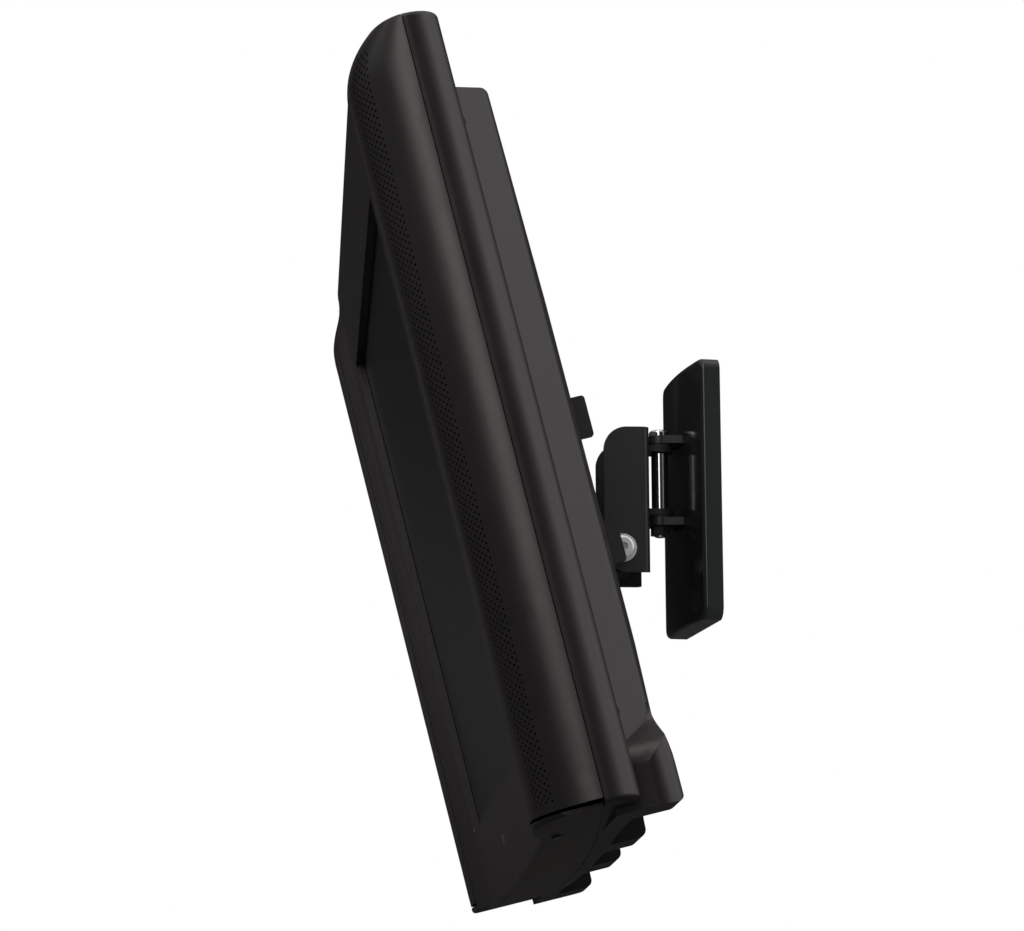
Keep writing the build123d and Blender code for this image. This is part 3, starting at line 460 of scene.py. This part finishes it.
class Dress(Enum):
    """The finishes of the object's pieces, by what they are made of."""

    SHELL = MouldedPlastic("moulded_shell")
    REAR = MouldedPlastic("moulded_rear", roughness=0.37, grain=2200.0)
    COVER = MouldedPlastic(
        "satin_cover",
        colour=(0.0190, 0.0225, 0.0213),
        pale=(0.0225, 0.0262, 0.0250),
        roughness=0.13,
        spread=0.03,
        grain_depth=0.000004,
        specular=0.34,
    )
    KEY = MouldedPlastic(
        "gloss_key",
        colour=(0.0060, 0.0058, 0.0056),
        pale=(0.0085, 0.0080, 0.0078),
        roughness=0.20,
        spread=0.04,
    )
    WINDOW = MouldedPlastic(
        "dark_window",
        colour=(0.0040, 0.0030, 0.0030),
        pale=(0.0062, 0.0044, 0.0044),
        roughness=0.18,
        spread=0.03,
    )
    DRIVER = MouldedPlastic(
        "driver_cone",
        colour=(0.012, 0.012, 0.012),
        pale=(0.02, 0.02, 0.02),
        roughness=0.6,
        spread=0.1,
    )
    NYLON = MouldedPlastic(
        "nylon",
        colour=(0.010, 0.010, 0.010),
        pale=(0.014, 0.014, 0.014),
        roughness=0.45,
        spread=0.06,
    )
    SOCKETS = MouldedPlastic(
        "socket_plastic",
        colour=(0.10, 0.10, 0.10),
        pale=(0.13, 0.13, 0.13),
        roughness=0.4,
        spread=0.05,
    )
    SCREEN = DisplayFilm("display_film")
    STEEL = PowderCoat("powder_coat")
    CHROME = PlatedMetal(
        "chrome",
        colour=(0.78, 0.78, 0.78),
        dull=(0.64, 0.64, 0.64),
        roughness=0.12,
        spread=0.05,
        metallic=0.8,
    )
    ZINC = PlatedMetal(
        "zinc_plate",
        colour=(0.86, 0.86, 0.87),
        dull=(0.70, 0.70, 0.72),
        roughness=0.34,
        spread=0.14,
        metallic=0.6,
    )
    BRASS = PlatedMetal(
        "brass",
        colour=(0.60, 0.42, 0.18),
        dull=(0.48, 0.33, 0.14),
        roughness=0.25,
        spread=0.10,
    )
    BOARD = CircuitBoard("circuit_board")

    def build(self) -> bpy.types.Material:
        """The material of this finish, made once."""
        return bpy.data.materials.get(self.value.name) or self.value.material()


def dress(nodes: Iterable[str], finish: Dress) -> None:
    """Give CAD nodes a finish.

    Args:
        nodes: Names of the nodes.
        finish: The finish they get.
    """
    material = finish.build()
    for name in nodes:
        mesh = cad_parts[name].data
        mesh.materials.clear()
        mesh.materials.append(material)
        LOG.info("dressed %s in %s", name, material.name)


@dataclass
class Placement:
    """How the set stands at rest, tilted and swung about the pin; millimetres and degrees."""

    tilt: float = 14.0
    swivel: float = -8.5
    pin_to_back: float = 24.5
    pin_to_tilt_axis: float = 24.4
    tilt_axis_height: float = -32.9
    tilt_axis_behind: float = 103.0
    tilt_axis_below: float = 36.0

    def matrix(self) -> Matrix:
        """From the set's own frame, in metres, to the row frame.

        Returns:
            The matrix.
        """
        pin = Matrix.Translation(Vector((0.0, -self.pin_to_back, 0.0)) * MM)
        swing = Matrix.Rotation(math.radians(self.swivel), 4, "Z")
        axis = Matrix.Translation(Vector((0.0, -self.pin_to_tilt_axis, self.tilt_axis_height)) * MM)
        lean = Matrix.Rotation(math.radians(self.tilt), 4, "X")
        back = Matrix.Translation(Vector((0.0, -self.tilt_axis_behind, self.tilt_axis_below)) * MM)
        return pin @ swing @ axis @ lean @ back


class Nodes:
    """A Geometry Nodes tree under construction, with named inputs."""

    def __init__(self, name: str) -> None:
        """Start a tree with a geometry input and output.

        Args:
            name: Name of the tree.
        """
        self.tree = bpy.data.node_groups.new(name, "GeometryNodeTree")
        for way in ("INPUT", "OUTPUT"):
            self.tree.interface.new_socket("Geometry", in_out=way, socket_type="NodeSocketGeometry")
        self.source = self.tree.nodes.new("NodeGroupInput")
        self.sink = self.tree.nodes.new("NodeGroupOutput")
        self.keys: dict[str, str] = {}

    def input(self, name: str, kind: str = "NodeSocketFloat") -> bpy.types.NodeSocket:
        """Add a named input.

        Args:
            name: Name of the input.
            kind: Type of its socket.

        Returns:
            The socket, for links inside the tree.
        """
        made = self.tree.interface.new_socket(name, in_out="INPUT", socket_type=kind)
        self.keys[name] = made.identifier
        return self.source.outputs[name]

    def add(
        self, kind: str, settings: dict | None = None, inputs: dict | None = None
    ) -> bpy.types.Node:
        """Add one node.

        Args:
            kind: Type of the node.
            settings: Attributes, set first.
            inputs: Values or sockets of its inputs, by number or name.

        Returns:
            The node.
        """
        made = self.tree.nodes.new(kind)
        for name, value in (settings or {}).items():
            setattr(made, name, value)
        for key, value in (inputs or {}).items():
            if isinstance(value, bpy.types.NodeSocket):
                self.tree.links.new(value, made.inputs[key])
            else:
                made.inputs[key].default_value = value
        return made

    def math(self, operation: str, *terms: object) -> bpy.types.NodeSocket:
        """Add a Math node and give its result."""
        made = self.add("ShaderNodeMath", {"operation": operation}, dict(enumerate(terms)))
        return made.outputs[0]

    def vector(self, x: object, y: object, z: object = 0.0) -> bpy.types.NodeSocket:
        """Add a Combine XYZ node and give its result."""
        return self.add("ShaderNodeCombineXYZ", inputs={0: x, 1: y, 2: z}).outputs[0]

    def finish(self, geometry: bpy.types.NodeSocket, material: bpy.types.Material) -> None:
        """End the tree in Realize Instances and Set Material.

        Args:
            geometry: What the tree has made.
            material: The material it gets.
        """
        real = self.add("GeometryNodeRealizeInstances", inputs={0: geometry})
        inputs = {"Geometry": real.outputs[0], "Material": material}
        painted = self.add("GeometryNodeSetMaterial", inputs=inputs)
        self.tree.links.new(painted.outputs[0], self.sink.inputs[0])

    def run(
        self, base: bpy.types.Object, values: dict[str, object], name: str
    ) -> bpy.types.Object:
        """Evaluate the tree on an object and keep the result as a plain mesh.

        Args:
            base: The object that carries the modifier; it is removed afterwards.
            values: The named inputs' values.
            name: Name of the new piece.

        Returns:
            The new piece.
        """
        modifier = base.modifiers.new("rule", "NODES")
        modifier.node_group = self.tree
        for key, value in values.items():
            modifier[self.keys[key]] = value
        graph = bpy.context.evaluated_depsgraph_get()
        mesh = bpy.data.meshes.new_from_object(base.evaluated_get(graph))
        mesh.name = name
        mesh.shade_smooth()
        mesh.set_sharp_from_angle(angle=math.radians(CREASE_ANGLE))
        bpy.data.objects.remove(base)
        made = bpy.data.objects.new(name, mesh)
        bpy.context.scene.collection.objects.link(made)
        return made


@dataclass
class PerforatedColumns:
    """The two speaker columns with their staggered sound holes; millimetres and degrees."""

    shoulder_x: float = 275.0
    shoulder_y: float = 29.3
    shoulder_radius: float = 37.0
    side_y: float = 24.98
    column_rise: float = 7.7
    crown_start: float = 172.6
    crown_radius: float = 38.0
    first_angle: float = 23.1
    angle_step: float = 3.35
    columns: int = 7
    rows: int = 105
    row_pitch: float = 3.62
    lowest: float = -186.5
    stagger: float = 0.5
    hole_radius: float = 0.62
    hole_depth: float = 3.4
    hole_sides: int = 10
    hole_sink: float = 0.5
    placement: Placement = field(default_factory=Placement)

    def grid(
        self, rule: Nodes
    ) -> tuple[bpy.types.NodeSocket, bpy.types.NodeSocket, bpy.types.NodeSocket]:
        """Add one point for each hole, in staggered columns.

        Args:
            rule: The tree under construction.

        Returns:
            The points, and the height and the angle about the shoulder of each.
        """
        columns = rule.input("Columns", "NodeSocketInt")
        rows = rule.input("Rows", "NodeSocketInt")
        first = rule.input("First angle")
        step = rule.input("Angle step")
        pitch = rule.input("Row pitch")
        low = rule.input("Lowest")
        count = rule.math("MULTIPLY", columns, rows)
        points = rule.add("GeometryNodePoints", inputs={"Count": count}).outputs[0]
        index = rule.add("GeometryNodeInputIndex").outputs[0]
        row = rule.math("FLOOR", rule.math("DIVIDE", index, columns))
        column = rule.math("MODULO", index, columns)
        stagger = rule.math("MULTIPLY", rule.math("MODULO", column, 2.0), self.stagger)
        height = rule.math("MULTIPLY_ADD", rule.math("ADD", row, stagger), pitch, low)
        angle = rule.math("MULTIPLY_ADD", column, step, first)
        return points, height, angle

    def shoulder(
        self, rule: Nodes, side: int, height: bpy.types.NodeSocket, angle: bpy.types.NodeSocket
    ) -> tuple[bpy.types.NodeSocket, bpy.types.NodeSocket]:
        """Find the holes' places just under the shoulder, which draws back at the crown.

        Args:
            rule: The tree under construction.
            side: 1 or -1, for the side of the set.
            height: Height of each hole.
            angle: Angle of each hole about the shoulder.

        Returns:
            The place and the outward direction of each hole, in the set's own frame.
        """
        sine = rule.math("SINE", angle)
        cosine = rule.math("COSINE", angle)
        reach = (self.shoulder_radius - self.hole_sink) * MM
        x = rule.math("MULTIPLY_ADD", sine, reach, self.shoulder_x * MM)
        x = rule.math("MULTIPLY", x, float(side))
        rise = rule.math("MAXIMUM", rule.math("SUBTRACT", height, self.crown_start * MM), 0.0)
        radius_squared = (self.crown_radius * MM) ** 2
        under = rule.math("SUBTRACT", radius_squared, rule.math("MULTIPLY", rise, rise))
        recess = rule.math("SUBTRACT", self.crown_radius * MM, rule.math("SQRT", under))
        share = rule.math("DIVIDE", recess, (self.side_y + self.column_rise) * MM)
        plain = rule.math("SUBTRACT", self.shoulder_y * MM, rule.math("MULTIPLY", cosine, reach))
        lead = rule.math("SUBTRACT", self.side_y * MM, plain)
        y = rule.math("MULTIPLY_ADD", lead, share, plain)
        outward_x = rule.math("MULTIPLY", sine, float(side))
        outward_y = rule.math("MULTIPLY", cosine, -1.0)
        return rule.vector(x, y, height), rule.vector(outward_x, outward_y)

    def tree(self, side: int) -> Nodes:
        """Rule for the holes of one side, cut from the cover it is given.

        Args:
            side: 1 or -1, for the side of the set.

        Returns:
            The tree.
        """
        rule = Nodes(f"sound_holes_{'right' if side > 0 else 'left'}")
        points, height, angle = self.grid(rule)
        radius = rule.input("Hole radius")
        spot, normal = self.shoulder(rule, side, height, angle)
        placed = rule.add("GeometryNodeSetPosition", inputs={"Geometry": points, "Position": spot})
        turn = rule.add("FunctionNodeAlignRotationToVector", {"axis": "Z"}, {"Vector": normal})
        through = 2 * self.hole_depth * MM
        inputs = {"Vertices": self.hole_sides, "Radius": radius, "Depth": through}
        drill = rule.add("GeometryNodeMeshCylinder", inputs=inputs)
        drills = rule.add(
            "GeometryNodeInstanceOnPoints",
            inputs={
                "Points": placed.outputs[0],
                "Instance": drill.outputs[0],
                "Rotation": turn.outputs[0],
            },
        )
        real = rule.add("GeometryNodeRealizeInstances", inputs={0: drills.outputs[0]})
        place = self.placement.matrix()
        moved = rule.add(
            "GeometryNodeTransform",
            inputs={
                "Geometry": real.outputs[0],
                "Translation": place.to_translation(),
                "Rotation": place.to_euler(),
            },
        )
        cut = rule.add("GeometryNodeMeshBoolean", {"operation": "DIFFERENCE", "solver": "EXACT"})
        rule.tree.links.new(rule.source.outputs["Geometry"], cut.inputs["Mesh 1"])
        rule.tree.links.new(moved.outputs[0], cut.inputs["Mesh 2"])
        rule.finish(cut.outputs[0], Dress.SHELL.build())
        return rule

    def build(self) -> None:
        """Drill both covers and let them stand for the plain ones."""
        values = {
            "Columns": self.columns,
            "Rows": self.rows,
            "First angle": math.radians(self.first_angle),
            "Angle step": math.radians(self.angle_step),
            "Row pitch": self.row_pitch * MM,
            "Lowest": self.lowest * MM,
            "Hole radius": self.hole_radius * MM,
        }
        for node, side in (("speaker_cover_right", 1), ("speaker_cover_left", -1)):
            base = merged_copy(node)
            made = self.tree(side).run(base, values, f"drilled_{node}")
            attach(made, "television")
            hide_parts(node)
            LOG.info("drilled %s: %d faces", node, len(made.data.polygons))


def merged_copy(node: str) -> bpy.types.Object:
    """Copy a CAD node, join its loose triangles at their corners and drop its stored normals.

    Args:
        node: Name of the node.

    Returns:
        The copy, which stands in no body.
    """
    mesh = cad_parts[node].data.copy()
    work = bmesh.new()
    work.from_mesh(mesh)
    bmesh.ops.remove_doubles(work, verts=work.verts, dist=MERGE_DISTANCE)
    work.to_mesh(mesh)
    work.free()
    mesh.attributes.remove(mesh.attributes["custom_normal"])
    mesh.materials.clear()
    copy = bpy.data.objects.new(f"copy_{node}", mesh)
    bpy.context.scene.collection.objects.link(copy)
    return copy


class Television:
    """The set: its shells, screen, keys and what is inside."""

    def dress(self) -> None:
        """Finish every node of the set."""
        keys = [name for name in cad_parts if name.startswith("top_key")]
        dress(["front_bezel", "speaker_cover_left", "speaker_cover_right"], Dress.SHELL)
        dress(["rear_cover"], Dress.REAR)
        dress(["lcd_panel"], Dress.SCREEN)
        dress([*keys, "power_button"], Dress.KEY)
        dress(["indicator_window"], Dress.WINDOW)
        dress(["main_board", "power_board"], Dress.BOARD)
        dress(["speaker_driver_left", "speaker_driver_right"], Dress.DRIVER)
        dress(["panel_chassis", "vesa_screws"], Dress.ZINC)
        dress(["vesa_inserts"], Dress.BRASS)
        dress(["connector_plate", "vesa_plate", "cover_screws"], Dress.STEEL)
        dress(["signal_sockets", "power_inlet"], Dress.SOCKETS)

    def build(self) -> None:
        """Dress the set and drill its columns."""
        self.dress()
        PerforatedColumns().build()


class Bracket:
    """The bracket between the wall and the set."""

    def build(self) -> None:
        """Finish every node of the bracket."""
        dress(["wall_cover"], Dress.COVER)
        dress(["wall_base_plate", "swivel_yoke", "tilt_fork"], Dress.STEEL)
        dress(["swivel_pin", "pivot_barrel"], Dress.CHROME)
        dress(["tilt_bolt", "tilt_nut", "tilt_washers", "yoke_screws"], Dress.ZINC)
        dress(["pin_retainer"], Dress.STEEL)
        dress(["pin_bushes"], Dress.NYLON)


@dataclass
class Camera:
    """Camera at the photograph's place."""

    place: tuple = (1.8461, -0.5096, -0.3696)
    aim: tuple = (-0.0012, -0.1105, 0.0168)
    roll: float = 0.279
    clip: tuple = (0.05, 50.0)

    def build(self) -> None:
        """Make the camera and let the scene use it."""
        data = bpy.data.cameras.new("camera")
        data.sensor_width = SENSOR_WIDTH
        data.lens = FOCAL_PIXELS / IMAGE_WIDTH * SENSOR_WIDTH
        data.clip_start, data.clip_end = self.clip
        camera = bpy.data.objects.new("camera", data)
        look = Vector(self.aim) - Vector(self.place)
        turn = look.to_track_quat("-Z", "Y").to_matrix().to_4x4()
        roll = Matrix.Rotation(math.radians(-self.roll), 4, "Z")
        camera.matrix_world = Matrix.Translation(self.place) @ turn @ roll
        bpy.context.scene.collection.objects.link(camera)
        bpy.context.scene.camera = camera


@dataclass
class Lamp:
    """One soft rectangular lamp."""

    name: str
    place: tuple
    aim: tuple
    size: tuple
    power: float

    def build(self) -> None:
        """Make the lamp."""
        data = bpy.data.lights.new(self.name, "AREA")
        data.shape = "RECTANGLE"
        data.size, data.size_y = self.size
        data.energy = self.power
        lamp = bpy.data.objects.new(self.name, data)
        look = Vector(self.aim) - Vector(self.place)
        turn = look.to_track_quat("-Z", "Y").to_matrix().to_4x4()
        lamp.matrix_world = Matrix.Translation(self.place) @ turn
        bpy.context.scene.collection.objects.link(lamp)


@dataclass(frozen=True)
class Glow:
    """An upright soft glow of the surroundings, as gloss sees it; angles in degrees from +X."""

    azimuth: float
    half_width: float
    level: float

    def shade(self, graph: Graph, azimuth: Value) -> Value:
        """Its level in a direction, given by its azimuth."""
        away = (azimuth - math.radians(self.azimuth)).math("ABSOLUTE")
        return graph.soft_step(away, math.radians(self.half_width), 0.0, self.level)


@dataclass
class Studio:
    """Floor, world and lamps."""

    floor_height: float = -0.75
    floor_size: float = 60.0
    ambient: float = 0.92
    base: float = 0.012
    tint: tuple = (1.0, 0.93, 0.92)
    glows: tuple = (
        Glow(-34.0, 25.0, 4.0),
        Glow(52.0, 44.0, 0.72),
        Glow(94.0, 42.0, 1.1),
        Glow(-95.0, 50.0, 0.25),
        Glow(-161.0, 7.0, 0.16),
    )
    far_level: float = 0.065
    far_rise: tuple = (0.01, 0.07)
    far_fall: tuple = (0.17, 0.05)
    far_reach: tuple = (-0.3, -0.9)
    top_level: float = 0.5
    top_rise: tuple = (0.4, 0.9)
    lamps: tuple = (
        Lamp("side_lamp", (1.5, 2.0, 1.3), (0.2, -0.1, 0.0), (1.2, 2.2), 8.0),
        Lamp("front_lamp", (0.6, -2.6, 1.6), (0.0, -0.1, 0.0), (2.0, 1.6), 6.0),
    )

    def world(self) -> None:
        """White to the camera, soft glows in reflections, plain light on matt surfaces."""
        made = bpy.data.worlds.new("studio")
        made.use_nodes = True
        graph = Graph(made.node_tree)
        rays = graph.node("ShaderNodeLightPath")
        way = graph.node("ShaderNodeTexCoord").out("Generated")
        axes = graph.node("ShaderNodeSeparateXYZ", inputs={0: way})
        across, along, up = (axes.out(axis) for axis in range(3))
        azimuth = along.math("ARCTAN2", across)
        level = sum((glow.shade(graph, azimuth) for glow in self.glows), start=self.base)
        band = graph.soft_step(up, *self.far_rise) * graph.soft_step(up, *self.far_fall)
        level = level + graph.soft_step(across, *self.far_reach) * band * self.far_level
        level = level + graph.soft_step(up, *self.top_rise) * self.top_level
        glossy = rays.out("Is Glossy Ray")
        level = glossy * level + (1.0 - glossy) * self.ambient
        seen = (rays.out("Is Camera Ray") + rays.out("Is Transmission Ray")).clamped(0.0, 1.0)
        strength = seen + (1.0 - seen) * level
        tone = graph.colour(glossy, (1.0, 1.0, 1.0), self.tint)
        back = graph.node("ShaderNodeBackground", inputs={"Color": tone, "Strength": strength})
        graph.node("ShaderNodeOutputWorld", inputs={0: back.out(0)})
        bpy.context.scene.world = made

    def floor(self) -> None:
        """Plain pale floor below the set."""
        half = self.floor_size / 2
        z = self.floor_height
        corners = [(-half, -half, z), (half, -half, z), (half, half, z), (-half, half, z)]
        mesh = bpy.data.meshes.new("floor")
        mesh.from_pydata(corners, [], [(0, 1, 2, 3)])
        mesh.materials.append(PaleFloor("pale_floor").material())
        floor = bpy.data.objects.new("floor", mesh)
        bpy.context.scene.collection.objects.link(floor)

    def build(self) -> None:
        """Make the stage."""
        self.world()
        self.floor()
        for lamp in self.lamps:
            lamp.build()
        bpy.context.scene.view_settings.view_transform = "Standard"


def main() -> None:
    """Build everything in order."""
    logging.basicConfig(level=logging.INFO)
    Camera().build()
    Studio().build()
    for part in (Television(), Bracket()):
        part.build()
        LOG.info("built %s", type(part).__name__)


if __name__ == "__main__":
    main()
